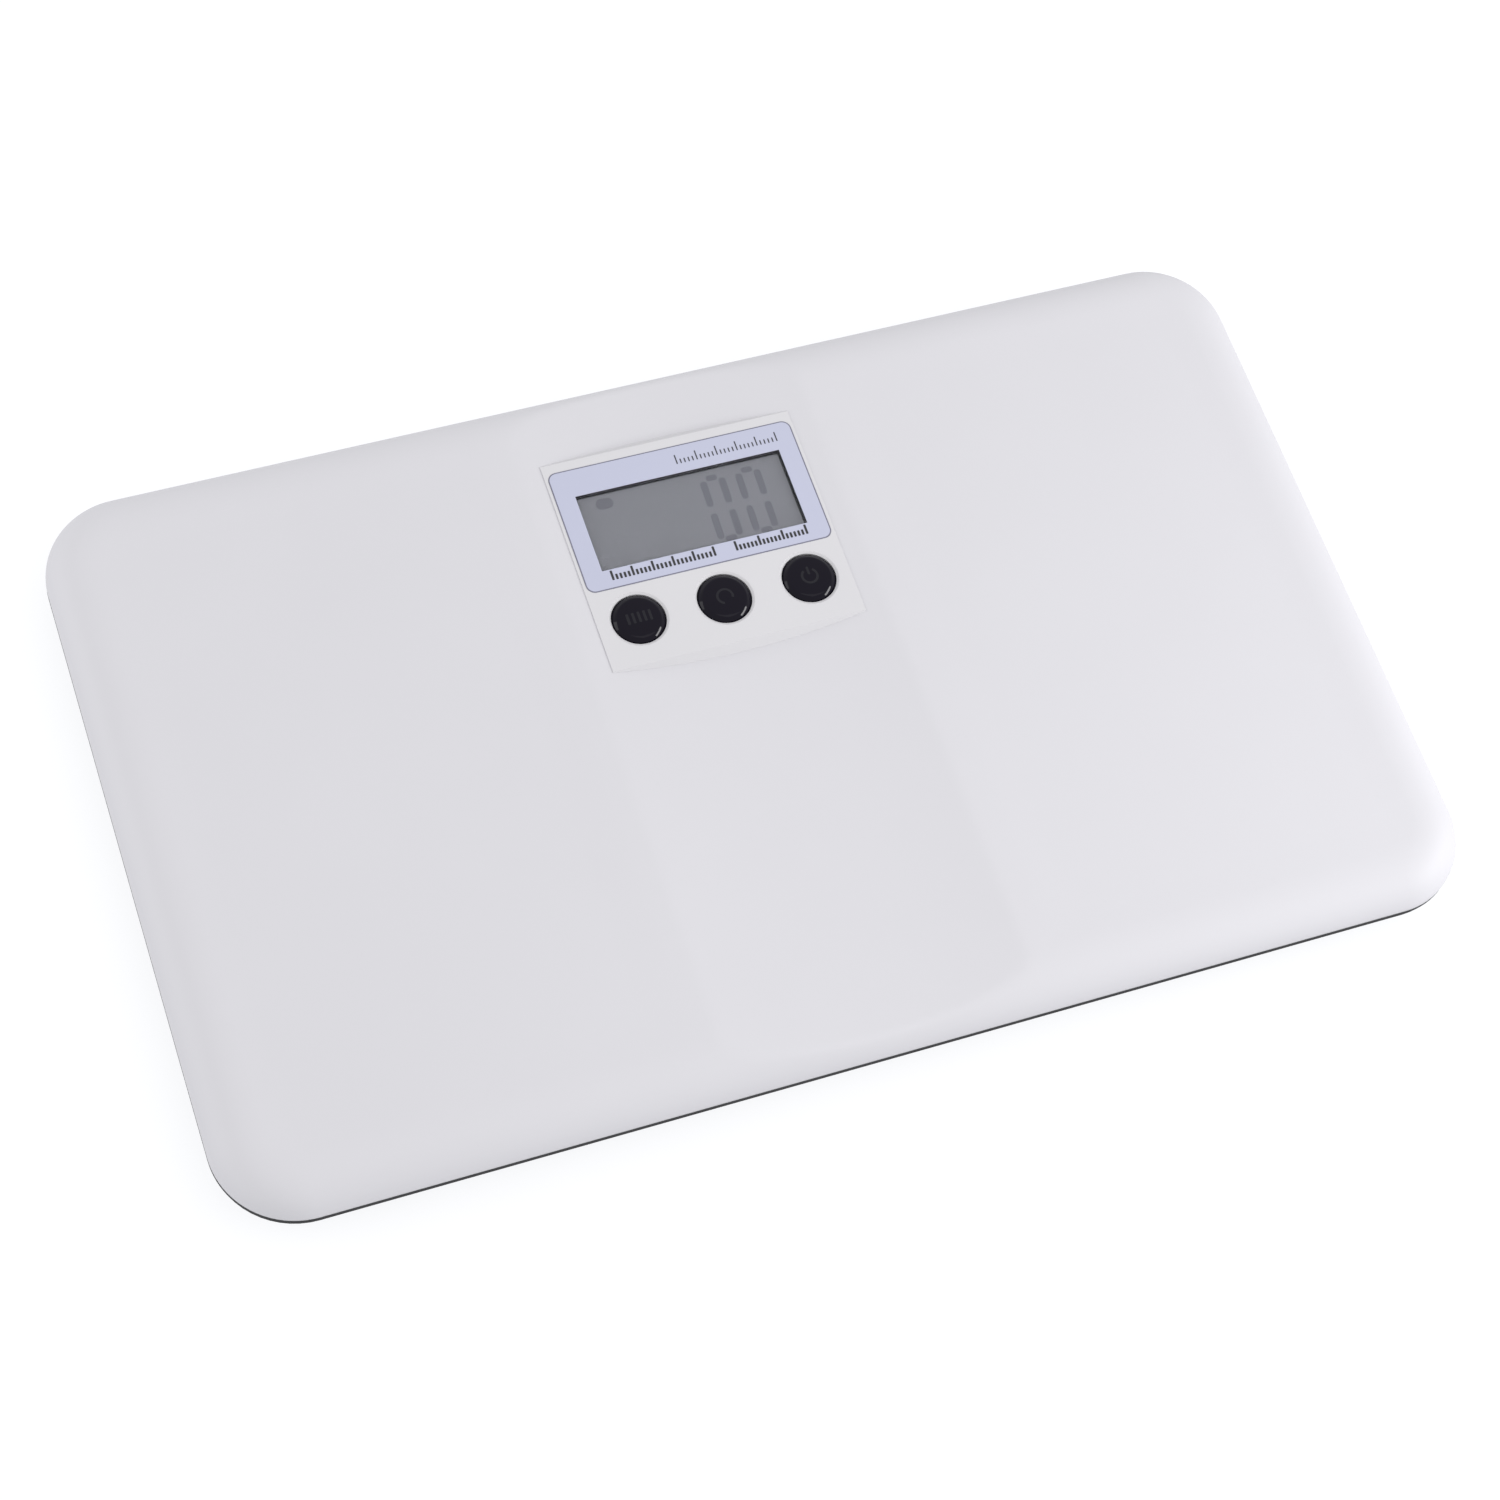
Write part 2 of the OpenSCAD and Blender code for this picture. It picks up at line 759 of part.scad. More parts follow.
module battery_springs() {
    start = plate_in - spring_wire_r - 0.02;
    stop = battery_l / 2 - battery_shift + spring_wire_r + 0.02;
    color("silver")
    for (i = [0 : battery_n - 1])
        translate([flat_side(i) * start, battery_y(i), battery_z])
            rotate([0, -flat_side(i) * 90, 0])
                cone_spring(start - stop);
}

// Sprung steel plates at both ends of the box, one at each end of each cell
module battery_contacts() {
    color("silver")
    for (s = [-1, 1], i = [0 : battery_n - 1])
        box([s * (plate_in + 0.2) - 0.2, battery_y(i) - 4.6, battery_z - 4.4],
            [s * (plate_in + 0.2) + 0.2, battery_y(i) + 4.6, battery_z + 4.4]);
}

// Two wires from the box to the board
module battery_leads() {
    r = 0.7;
    z = tray_rib_z + r + 0.2;
    side_y = box_back - r - 0.1;
    for (k = [0, 1]) {
        side = k == 0 ? 1 : -1;
        side_z = box_top - 1.1 - 1.8 * k;
        exit_x = 15.5 + 3 * k;
        end_x = 6 + 4 * k;
        color(k == 0 ? "red" : "black")
            wire([[side * (plate_in - 0.1), side_y, side_z], [exit_x, side_y, side_z],
                  [exit_x, box_back + 7, z], [exit_x, -30, z],
                  [end_x, button_y - 12, z + 1], [end_x, button_y - 12, board_z - r - gap]], r);
    }
}

top_cover();
display_bezel();
display_overlay();
lcd_window();
lcd_glass();
lcd_reflector();
lcd_frame();
zebra_strip();
circuit_board();
board_parts();
switch_housings();
board_screws();
base_tray();
cover_screws();
cell_screws();
cell_bracket(-1, -1);  // cell_bracket_front_left
cell_bracket(1, -1);  // cell_bracket_front_right
cell_bracket(-1, 1);  // cell_bracket_back_left
cell_bracket(1, 1);  // cell_bracket_back_right
load_cell(-1, -1);  // load_cell_front_left
load_cell(1, -1);  // load_cell_front_right
load_cell(-1, 1);  // load_cell_back_left
load_cell(1, 1);  // load_cell_back_right
gauge_cable(-1, -1);  // gauge_cable_front_left
gauge_cable(1, -1);  // gauge_cable_front_right
gauge_cable(-1, 1);  // gauge_cable_back_left
gauge_cable(1, 1);  // gauge_cable_back_right
foot_cap(-1, -1);  // foot_cap_front_left
foot_cap(1, -1);  // foot_cap_front_right
foot_cap(-1, 1);  // foot_cap_back_left
foot_cap(1, 1);  // foot_cap_back_right
foot_pad(-1, -1);  // foot_pad_front_left
foot_pad(1, -1);  // foot_pad_front_right
foot_pad(-1, 1);  // foot_pad_back_left
foot_pad(1, 1);  // foot_pad_back_right
button_cap(button_x[0]);  // button_cap_left
button_cap(button_x[1]);  // button_cap_middle
button_cap(button_x[2]);  // button_cap_right
switch_plunger(button_x[0]);  // switch_plunger_left
switch_plunger(button_x[1]);  // switch_plunger_middle
switch_plunger(button_x[2]);  // switch_plunger_right
battery(0);  // battery_1
battery(1);  // battery_2
battery(2);  // battery_3
battery(3);  // battery_4
battery_springs();
battery_contacts();
battery_leads();
battery_door();
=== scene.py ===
"""Looks of the animal weighing scale: smooth cover, display panel, glossy buttons, tray and feet."""

import json
import math

import bpy
from mathutils import Matrix, Vector


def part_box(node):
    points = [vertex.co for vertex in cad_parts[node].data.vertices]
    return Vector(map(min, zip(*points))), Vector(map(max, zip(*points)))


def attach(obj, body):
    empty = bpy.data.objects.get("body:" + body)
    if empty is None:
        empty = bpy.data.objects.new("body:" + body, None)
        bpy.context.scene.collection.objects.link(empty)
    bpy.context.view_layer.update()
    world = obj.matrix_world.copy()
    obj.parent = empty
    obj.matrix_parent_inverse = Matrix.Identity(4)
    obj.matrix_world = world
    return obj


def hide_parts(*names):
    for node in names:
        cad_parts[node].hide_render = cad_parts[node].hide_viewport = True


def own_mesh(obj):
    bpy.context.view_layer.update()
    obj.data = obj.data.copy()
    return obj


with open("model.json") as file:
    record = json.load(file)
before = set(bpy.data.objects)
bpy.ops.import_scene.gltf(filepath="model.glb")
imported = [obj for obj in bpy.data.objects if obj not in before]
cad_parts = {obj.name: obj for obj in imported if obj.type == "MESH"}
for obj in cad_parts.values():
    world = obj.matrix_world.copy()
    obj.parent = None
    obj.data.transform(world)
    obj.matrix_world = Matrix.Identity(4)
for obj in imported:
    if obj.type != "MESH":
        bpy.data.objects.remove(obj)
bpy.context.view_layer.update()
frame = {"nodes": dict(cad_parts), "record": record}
NODES = frame["nodes"]
MM = 0.001

CORNERS = ("front_left", "front_right", "back_left", "back_right")
BUTTONS = ("left", "middle", "right")


# ---- Boxes of the CAD nodes, in millimetres ----

def low_high(node):
    low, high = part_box(node)
    return low / MM, high / MM


COVER_LOW, COVER_HIGH = low_high("top_cover")
BEZEL_LOW, BEZEL_HIGH = low_high("display_bezel")
LABEL_LOW, LABEL_HIGH = low_high("display_overlay")
WINDOW_LOW, WINDOW_HIGH = low_high("lcd_window")
GLASS_TOP_Z = low_high("lcd_glass")[1].z


# ---- Sizes of the cover and of the tray's lip, in millimetres ----

HALF_W = COVER_HIGH.x
HALF_D = COVER_HIGH.y
CROWN_Z = COVER_HIGH.z
RIM_Z = 23.4
WALL_T = 2.5
CORNER_R = 36.0
CORNER_X = HALF_W - CORNER_R
CORNER_Y = HALF_D - CORNER_R

# The rolled edge is a superellipse.
ROLL_W = 23.0
ROLL_POWER = 2.3

# The bridge is an arc between two creases, and the creases are softer on the roll.
CREASE_X = 68.0
CREASE_BLEND = 0.4
CREASE_BLEND_ON_ROLL = 1.6
DISH_DEPTH = 4.7
DISH_LIFT = 0.08
DISH_R = (CREASE_X ** 2 + DISH_DEPTH ** 2) / (2 * DISH_DEPTH)
DISH_Z = CROWN_Z - DISH_DEPTH + DISH_LIFT
DISH_REACH = CREASE_X + 20

# The treads sink a little, from the inner end of the roll and from a line beyond the crease.
TREAD_DIP = 0.25
DIP_ROLL_OVERLAP = 2
DIP_ROLL_RUN = 12
DIP_CREASE_GAP = 8
DIP_CREASE_RUN = 20

# The cover is open under the display panel.
PANEL_OPEN_X = 54.0
PANEL_LAP_Y = 5.7
PANEL_OPEN_Y = (BEZEL_LOW.y + PANEL_LAP_Y, BEZEL_HIGH.y - PANEL_LAP_Y)

# Grid lines as start, step, stop, step, stop and so on, finest across the crease.
GRID_X = (0, 2.2, PANEL_OPEN_X, 1.6, 60, 0.9, 76, 2, 100, 9, CORNER_X)
GRID_Y = (-CORNER_Y, 12, 24)
FLAT_REACH = (4.0, 8.0, CORNER_R - ROLL_W)
ROLL_STEPS = 36
CORNER_STEPS = 20

LIP_LOW_Z = 20.7
LIP_W = 1.6
LIP_INSET = 0.02
LIP_GAP = 0.05


# ---- Sizes of the display, in millimetres ----

WINDOW_LAP = 2.0
OPENING_LOW = (WINDOW_LOW.x + WINDOW_LAP, WINDOW_LOW.y + WINDOW_LAP)
OPENING_HIGH = (WINDOW_HIGH.x - WINDOW_LAP, WINDOW_HIGH.y - WINDOW_LAP)

# Prints start just above the surface that they lie on.
PRINT_LIFT = 0.005
PRINT_TOP = 0.03
SEGMENT_TOP = 0.02
PIECE_GAP = 0.01

OUTLINE_W = 0.45
OUTLINE_R = 4.0
OUTLINE_INNER_R = 3.6

TICK_R = 0.3
TOP_TICKS_Y = LABEL_HIGH.y - 9.3
LOW_TICKS_Y = LABEL_LOW.y + 3.9

# Centre lines of the upright strokes of each digit, and the reach of the strokes across.
DIGITS_X = ((9.2, 17.8), (25.6, 34.2))
DIGITS_LOW_Y = OPENING_LOW[1] + 2.9
DIGITS_HIGH_Y = OPENING_HIGH[1] - 6.1
DIGIT_STROKE = 3.2
DIGIT_LEAN = 0.035
DIGIT_HALF_GAP = 1.8
DIGIT_FOOT = (-2.0, 0.8)
DIGIT_HEAD = (-0.4, 2.4)
DIGIT_CROSS_GAP = 0.1
UPRIGHT_R = 1.3
CROSS_R = 1.2
SIGN_X = (-39.5, -31.5)
SIGN_REACH = (-2.2, 3.2)
SIGN_R = 2.6

# Dark bars on the walls of the window's opening: painted shade of the recess.
SHADE_WALL_T = 0.15
SHADE_WALL_LIFT = 0.02
SHADE_WALL_DROP = 0.1
# Dark bars on the edge of the glass: painted shade of the recess, wider at the back and right.
SHADE_NEAR_W = 0.3
SHADE_FAR_W = 0.9


# ---- Sizes of the buttons and the load cells, in millimetres ----

BUTTON_R = 11.85
PANEL_T = 2.3
CAP_SIDE_R = BUTTON_R - 0.05
CAP_HOLLOW_R = BUTTON_R - 1.6
CAP_FLANGE_R = BUTTON_R + 1.0
CAP_FLANGE_T = 1.2
CAP_FLANGE_DROP = 1.5
CAP_CEILING_Z = BEZEL_HIGH.z - 1.4
CAP_SKIRT_Z = BEZEL_HIGH.z - PANEL_T - CAP_FLANGE_DROP
CAP_STEM_R = 2.2
CAP_STEM_GAP = 0.05
CAP_DOME_R = 90.0
CAP_TURNS = 96

# Each arc of the shoulder holds its tilt in degrees at the top, its tilt at the foot, and its radius.
CAP_ARCS = ((6, 34, 1.8), (34, 47, 9.0), (47, 90, 1.5))
CAP_ARC_STEPS = 8
CAP_DOME_STEPS = 8

MARK_H = 0.05
MARK_STROKE = 1.1
MARK_RING_R = 3.4
MARK_R = 0.4
BAR_X = (-5.0, -2.5, 0.0, 2.5, 5.0)
BAR_HALF_W = 0.6
BAR_HALF_H = 2.6
POWER_BAR_HALF_W = 0.55
POWER_BAR_REACH = (0.6, 4.6)
ARC_STEPS = 24


def new_object(name, data):
    thing = bpy.data.objects.new(name, data)
    bpy.context.scene.collection.objects.link(thing)
    return thing


# ---- Camera ----

def add_camera():
    heading = math.radians(32.31)
    elevation = math.radians(62.66)
    roll = math.radians(15.03)
    distance = 1.4132
    target = Vector((-0.00844, -0.01788, 0.022))
    flat = math.cos(elevation)
    forward = Vector((math.sin(heading) * flat, math.cos(heading) * flat, -math.sin(elevation)))
    level = forward.cross(Vector((0, 0, 1))).normalized()
    upright = level.cross(forward)
    right = level * math.cos(roll) + upright * math.sin(roll)
    up = right.cross(forward)
    data = bpy.data.cameras.new("camera")
    data.sensor_width = 36
    data.lens = 79.36
    data.clip_start = 0.05
    camera = new_object("camera", data)
    axes = Matrix((right, up, -forward)).transposed().to_4x4()
    camera.matrix_world = Matrix.Translation(target - forward * distance) @ axes
    bpy.context.scene.camera = camera


add_camera()


# ---- Materials ----

TINT_SCALE = 14
TINT_RAMP = (0.3, 0.7)
GLOSS_SPREAD = 0.05
GLOSS_LEAST = 0.02
HAZE_SCALE = 300
HAZE_SPREAD = 0.03


def new_material(name):
    mat = bpy.data.materials.new(name)
    mat.use_nodes = True
    return mat, mat.node_tree.nodes, mat.node_tree.links


def moulded(name, color, roughness, grain=0.4, grain_mm=0.5, bump=0.02, vary=0.02, metallic=0.0,
            specular=0.5, anisotropy=0.0):
    """Plastic, rubber or metal: slow colour variation, fine surface grain and slightly uneven gloss."""
    mat, nodes, links = new_material(name)
    shader = nodes["Principled BSDF"]
    shader.inputs["Metallic"].default_value = metallic
    shader.inputs["Specular IOR Level"].default_value = specular
    shader.inputs["Anisotropic"].default_value = anisotropy
    place = nodes.new("ShaderNodeTexCoord")

    slow = nodes.new("ShaderNodeTexNoise")
    slow.inputs["Scale"].default_value = TINT_SCALE
    slow.inputs["Detail"].default_value = 3
    links.new(place.outputs["Object"], slow.inputs["Vector"])
    tint = nodes.new("ShaderNodeValToRGB")
    darker, lighter = tint.color_ramp.elements
    darker.position, lighter.position = TINT_RAMP
    darker.color = [c * (1 - vary) for c in color] + [1]
    lighter.color = [min(1, c * (1 + vary)) for c in color] + [1]
    links.new(slow.outputs["Fac"], tint.inputs["Fac"])
    links.new(tint.outputs["Color"], shader.inputs["Base Color"])

    fine = nodes.new("ShaderNodeTexNoise")
    fine.inputs["Scale"].default_value = 1 / MM / grain_mm
    fine.inputs["Detail"].default_value = 2
    links.new(place.outputs["Object"], fine.inputs["Vector"])
    gloss = nodes.new("ShaderNodeMapRange")
    gloss.inputs["To Min"].default_value = max(GLOSS_LEAST, roughness - GLOSS_SPREAD)
    gloss.inputs["To Max"].default_value = roughness + GLOSS_SPREAD
    links.new(slow.outputs["Fac"], gloss.inputs["Value"])
    links.new(gloss.outputs["Result"], shader.inputs["Roughness"])
    relief = nodes.new("ShaderNodeBump")
    relief.inputs["Strength"].default_value = grain
    relief.inputs["Distance"].default_value = bump * MM
    links.new(fine.outputs["Fac"], relief.inputs["Height"])
    links.new(relief.outputs["Normal"], shader.inputs["Normal"])
    return mat


def clear(name, color, roughness):
    """Clear plastic with a slight, uneven haze."""
    mat, nodes, links = new_material(name)
    shader = nodes["Principled BSDF"]
    shader.inputs["Base Color"].default_value = color + [1]
    shader.inputs["Transmission Weight"].default_value = 1
    shader.inputs["IOR"].default_value = 1.2
    place = nodes.new("ShaderNodeTexCoord")
    haze = nodes.new("ShaderNodeTexNoise")
    haze.inputs["Scale"].default_value = HAZE_SCALE
    links.new(place.outputs["Object"], haze.inputs["Vector"])
    spread = nodes.new("ShaderNodeMapRange")
    spread.inputs["To Min"].default_value = roughness
    spread.inputs["To Max"].default_value = roughness + HAZE_SPREAD
    links.new(haze.outputs["Fac"], spread.inputs["Value"])
    links.new(spread.outputs["Result"], shader.inputs["Roughness"])
    return mat


COVER_MAT = moulded("cover_plastic", [0.501, 0.496, 0.523], 0.54, grain=0.25, grain_mm=0.7, bump=0.012,
                    vary=0.006, specular=0.32)
BEZEL_MAT = moulded("bezel_plastic", [0.497, 0.492, 0.512], 0.48, grain=0.25, grain_mm=0.6, bump=0.012,
                    vary=0.008)
LABEL_MAT = moulded("label_film", [0.385, 0.398, 0.503], 0.42, grain=0.3, grain_mm=0.25, bump=0.006,
                    vary=0.012)
OUTLINE_MAT = moulded("label_outline", [0.14, 0.14, 0.19], 0.45, grain=0.2, vary=0.03)
PRINT_DARK_MAT = moulded("print_black", [0.012, 0.012, 0.014], 0.5, grain=0.2, grain_mm=0.2, vary=0.05)
PRINT_GREY_MAT = moulded("print_grey", [0.035, 0.035, 0.045], 0.5, grain=0.2, grain_mm=0.2, vary=0.05)
LCD_MAT = moulded("lcd_polariser", [0.206, 0.207, 0.225], 0.5, grain=0.2, grain_mm=0.3, bump=0.004,
                  vary=0.05)
DIGIT_MAT = moulded("lcd_segment", [0.145, 0.143, 0.168], 0.55, grain=0.2, vary=0.05)
# Dark colour painted as the shade of the window's recess, on its walls and round the glass.
WINDOW_SHADE_MAT = moulded("painted_window_shade", [0.035, 0.035, 0.04], 0.5, grain=0.2, vary=0.08)
WINDOW_MAT = clear("clear_window", [0.97, 0.98, 1.0], 0.02)
BUTTON_MAT = moulded("button_gloss", [0.0016, 0.0007, 0.005], 0.07, grain=0.05, grain_mm=1.2, bump=0.01,
                     vary=0.08, specular=0.155)
MARK_MAT = moulded("button_engraving", [0.009, 0.0085, 0.0125], 0.4, grain=0.3, vary=0.08, specular=0.18)
TRAY_MAT = moulded("tray_plastic", [0.006, 0.006, 0.0075], 0.55, grain=0.7, grain_mm=0.45, bump=0.05,
                   vary=0.12, specular=0.15)
FRAME_MAT = moulded("black_plastic", [0.02, 0.02, 0.022], 0.5, grain=0.4, vary=0.1)
RUBBER_MAT = moulded("foot_rubber", [0.035, 0.035, 0.038], 0.75, grain=0.8, grain_mm=0.6, bump=0.06,
                     vary=0.15)
SCREW_MAT = moulded("screw_steel", [0.62, 0.62, 0.64], 0.3, grain=0.3, vary=0.06, metallic=1.0,
                    anisotropy=0.4)
SPRING_MAT = moulded("spring_steel", [0.7, 0.69, 0.66], 0.25, grain=0.2, vary=0.05, metallic=1.0)
CELL_MAT = moulded("cell_steel", [0.55, 0.55, 0.56], 0.36, grain=0.5, vary=0.06, metallic=1.0,
                   anisotropy=0.6)
BRACKET_MAT = moulded("bracket_plastic", [0.72, 0.72, 0.70], 0.5, vary=0.02)
BOARD_MAT = moulded("board_laminate", [0.02, 0.14, 0.05], 0.35, vary=0.1)
PART_MAT = moulded("component_body", [0.02, 0.02, 0.02], 0.4, vary=0.1)
CABLE_MAT = moulded("cable_jacket", [0.35, 0.35, 0.36], 0.45, vary=0.05)
CONTACT_MAT = moulded("contact_rubber", [0.55, 0.25, 0.18], 0.6, vary=0.05)
FILM_MAT = moulded("reflector_film", [0.5, 0.5, 0.5], 0.4, vary=0.03)
PLUNGER_MAT = moulded("plunger_plastic", [0.7, 0.66, 0.5], 0.4, vary=0.03)
BATTERY_MAT = moulded("battery_shell", [0.42, 0.27, 0.07], 0.3, vary=0.05, metallic=0.6)

SLOT_MATERIAL = {
    "cover_plastic": COVER_MAT,
    "bezel_plastic": BEZEL_MAT,
    "label_film": LABEL_MAT,
    "clear_window": WINDOW_MAT,
    "lcd_panel": LCD_MAT,
    "reflector_film": FILM_MAT,
    "black_plastic": FRAME_MAT,
    "contact_rubber": CONTACT_MAT,
    "board_laminate": BOARD_MAT,
    "component_body": PART_MAT,
    "screw_steel": SCREW_MAT,
    "tray_plastic": TRAY_MAT,
    "spring_steel": SPRING_MAT,
    "cable_jacket": CABLE_MAT,
    "bracket_plastic": BRACKET_MAT,
    "cell_steel": CELL_MAT,
    "foot_rubber": RUBBER_MAT,
    "button_gloss": BUTTON_MAT,
    "plunger_plastic": PLUNGER_MAT,
    "battery_shell": BATTERY_MAT,
}


def dress_cad_nodes():
    """Gives every CAD node the material of its slot in the record."""
    for entry in frame["record"]["subparts"]:
        for holder in NODES[entry["node"]].material_slots:
            holder.link = "OBJECT"
            holder.material = SLOT_MATERIAL[entry["material_slot"]]


def round_edges(node, width_mm):
    """Softens the sharp edges of a CAD node."""
    bevel = NODES[node].modifiers.new("edges", "BEVEL")
    bevel.width = width_mm * MM
    bevel.segments = 2
    bevel.limit_method = "ANGLE"
    bevel.angle_limit = math.radians(35)
    bevel.harden_normals = True


dress_cad_nodes()


# ---- Mesh helpers ----

def add_piece(name, points_mm, faces, material, body, smooth=True, sharp=None):
    mesh = bpy.data.meshes.new(name)
    mesh.from_pydata([Vector(p) * MM for p in points_mm], [], faces)
    mesh.validate()
    mesh.update()
    piece = new_object(name, mesh)
    mesh.materials.append(material)
    mesh.polygons.foreach_set("use_smooth", [smooth] * len(mesh.polygons))
    if sharp is not None:
        mesh.set_sharp_from_angle(angle=math.radians(sharp))
    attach(piece, body)
    return piece


def steps(*stops):
    """A rising list of values from (start, step, stop, step, stop ...)."""
    values = [stops[0]]
    for step, stop in zip(stops[1::2], stops[2::2]):
        start = values[-1]
        count = max(1, round((stop - start) / step))
        values += [start + (stop - start) * (i + 1) / count for i in range(count)]
    return values


def mirrored(values):
    """The values, which start at zero, after the negatives of all but the first."""
    return [-v for v in reversed(values[1:])] + values


def prism(outline, z0, z1, points, faces):
    """Adds an upright prism on an outline to the lists."""
    n, first = len(outline), len(points)
    points += [(x, y, z0) for x, y in outline] + [(x, y, z1) for x, y in outline]
    faces.append([first + i for i in reversed(range(n))])
    faces.append([first + n + i for i in range(n)])
    for i in range(n):
        j = (i + 1) % n
        faces.append([first + i, first + j, first + n + j, first + n + i])


def hoop(outer, inner, z0, z1):
    """Points and faces of an upright ring between two outlines with the same number of points."""
    points = [(x, y, z) for z in (z0, z1) for outline in (outer, inner) for x, y in outline]
    faces = []
    n = len(outer)
    for i in range(n):
        j = (i + 1) % n
        faces += [[2 * n + i, 2 * n + j, 3 * n + j, 3 * n + i], [i, n + i, n + j, j],
                  [i, j, 2 * n + j, 2 * n + i], [n + i, 3 * n + i, 3 * n + j, n + j]]
    return points, faces


def round_rect(x0, y0, x1, y1, r, segments=6):
    corners = ((x1 - r, y0 + r, -90), (x1 - r, y1 - r, 0), (x0 + r, y1 - r, 90), (x0 + r, y0 + r, 180))
    outline = []
    for cx, cy, start in corners:
        for i in range(segments + 1):
            a = math.radians(start + 90 * i / segments)
            outline.append((cx + r * math.cos(a), cy + r * math.sin(a)))
    return outline


def lathe(profile, turns, cx, cy):
    """Points and faces of a closed profile of (radius, z) turned about a vertical axis.

    The profile's two ends lie on the axis.
    """
    points = [(cx, cy, profile[0][1])]
    ring_starts = []
    turn = [2 * math.pi * k / turns for k in range(turns)]
    for r, z in profile[1:-1]:
        ring_starts.append(len(points))
        points += [(cx + r * math.cos(a), cy + r * math.sin(a), z) for a in turn]
    points.append((cx, cy, profile[-1][1]))
    faces = []
    for k in range(turns):
        j = (k + 1) % turns
        faces.append([0, ring_starts[0] + j, ring_starts[0] + k])
        for a, b in zip(ring_starts, ring_starts[1:]):
            faces.append([a + k, a + j, b + j, b + k])
        faces.append([ring_starts[-1] + k, ring_starts[-1] + j, len(points) - 1])
    return points, faces


# ---- Moulded cover ----

def smooth_min(a, b, k):
    """The lower of two heights, with the corner between them rounded over a difference of k."""
    h = max(k - abs(a - b), 0) / k
    return min(a, b) - h * h * k / 4


def blend_step(t):
    """Smooth step from 0 to 1."""
    t = min(1.0, max(0.0, t))
    return t * t * (3 - 2 * t)


def cover_height(x, inset):
    """Height of the cover's top at x, and at a distance in from its outline."""
    x = abs(x)
    t = max(0.0, 1 - inset / ROLL_W)
    crown = RIM_Z + (CROWN_Z - RIM_Z) * max(0.0, 1 - t ** ROLL_POWER) ** (1 / ROLL_POWER)
    from_roll = blend_step((inset - ROLL_W + DIP_ROLL_OVERLAP) / DIP_ROLL_RUN)
    from_crease = blend_step((x - CREASE_X - DIP_CREASE_GAP) / DIP_CREASE_RUN)
    dip = TREAD_DIP * from_roll * from_crease
    dish = DISH_Z + DISH_R - math.sqrt(DISH_R ** 2 - min(x, DISH_REACH) ** 2)
    return smooth_min(crown - dip, dish, CREASE_BLEND + CREASE_BLEND_ON_ROLL * blend_step(t))


def cover_grid():
    """Open surface of the cover: the middle with its opening, four rolled sides and four corners."""
    xs = mirrored(steps(*GRID_X))
    ys = sorted({CORNER_Y, *PANEL_OPEN_Y, *steps(*GRID_Y)})
    corners = ((CORNER_X, CORNER_Y, 0), (-CORNER_X, CORNER_Y, 90), (-CORNER_X, -CORNER_Y, 180),
               (CORNER_X, -CORNER_Y, 270))
    reach = [0.0, *FLAT_REACH]
    for i in range(ROLL_STEPS):
        reach.append(CORNER_R - ROLL_W + ROLL_W * math.sin(math.pi / 2 * (i + 1) / ROLL_STEPS))
    points, faces, index = [], [], {}

    def point(x, y, inset):
        key = (round(x, 4), round(y, 4))
        if key not in index:
            index[key] = len(points)
            points.append((x, y, cover_height(x, inset)))
        return index[key]

    def quad(*corners):
        ids = [point(*c) for c in corners]
        unique = [v for i, v in enumerate(ids) if v not in ids[:i]]
        if len(unique) > 2:
            faces.append(unique)

    def in_opening(x, y):
        return abs(x) < PANEL_OPEN_X and PANEL_OPEN_Y[0] < y < PANEL_OPEN_Y[1]

    for x0, x1 in zip(xs, xs[1:]):
        for y0, y1 in zip(ys, ys[1:]):
            if not in_opening((x0 + x1) / 2, (y0 + y1) / 2):
                quad((x0, y0, CORNER_R), (x1, y0, CORNER_R), (x1, y1, CORNER_R), (x0, y1, CORNER_R))
    for s0, s1 in zip(reach, reach[1:]):
        i0, i1 = CORNER_R - s0, CORNER_R - s1
        near, far = CORNER_Y + s0, CORNER_Y + s1
        for x0, x1 in zip(xs, xs[1:]):
            quad((x0, -far, i1), (x1, -far, i1), (x1, -near, i0), (x0, -near, i0))
            quad((x0, near, i0), (x1, near, i0), (x1, far, i1), (x0, far, i1))
        near, far = CORNER_X + s0, CORNER_X + s1
        for y0, y1 in zip(ys, ys[1:]):
            quad((-far, y0, i1), (-near, y0, i0), (-near, y1, i0), (-far, y1, i1))
            quad((near, y0, i0), (far, y0, i1), (far, y1, i1), (near, y1, i0))
        for cx, cy, start in corners:
            for k in range(CORNER_STEPS):
                a0 = math.radians(start + 90 * k / CORNER_STEPS)
                a1 = math.radians(start + 90 * (k + 1) / CORNER_STEPS)
                ends = ((s0, a0, i0), (s1, a0, i1), (s1, a1, i1), (s0, a1, i0))
                quad(*[(cx + s * math.cos(a), cy + s * math.sin(a), i) for s, a, i in ends])
    return points, faces


def add_cover():
    points, faces = cover_grid()
    piece = add_piece("cover_shell", points, faces, COVER_MAT, "casing", sharp=50)
    wall = piece.modifiers.new("wall", "SOLIDIFY")
    wall.thickness = WALL_T * MM
    wall.offset = -1
    wall.use_even_offset = True
    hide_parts("top_cover")


add_cover()


# ---- Display ----

def add_label_print():
    """Thin dark outline round the label."""
    x0, y0, z = LABEL_LOW.x, LABEL_LOW.y, LABEL_HIGH.z
    x1, y1 = LABEL_HIGH.x, LABEL_HIGH.y
    w = OUTLINE_W
    outer = round_rect(x0, y0, x1, y1, OUTLINE_R, 8)
    inner = round_rect(x0 + w, y0 + w, x1 - w, y1 - w, OUTLINE_INNER_R, 8)
    points, faces = hoop(outer, inner, z + PRINT_LIFT, z + PRINT_TOP)
    add_piece("label_outline", points, faces, OUTLINE_MAT, "casing", smooth=False)


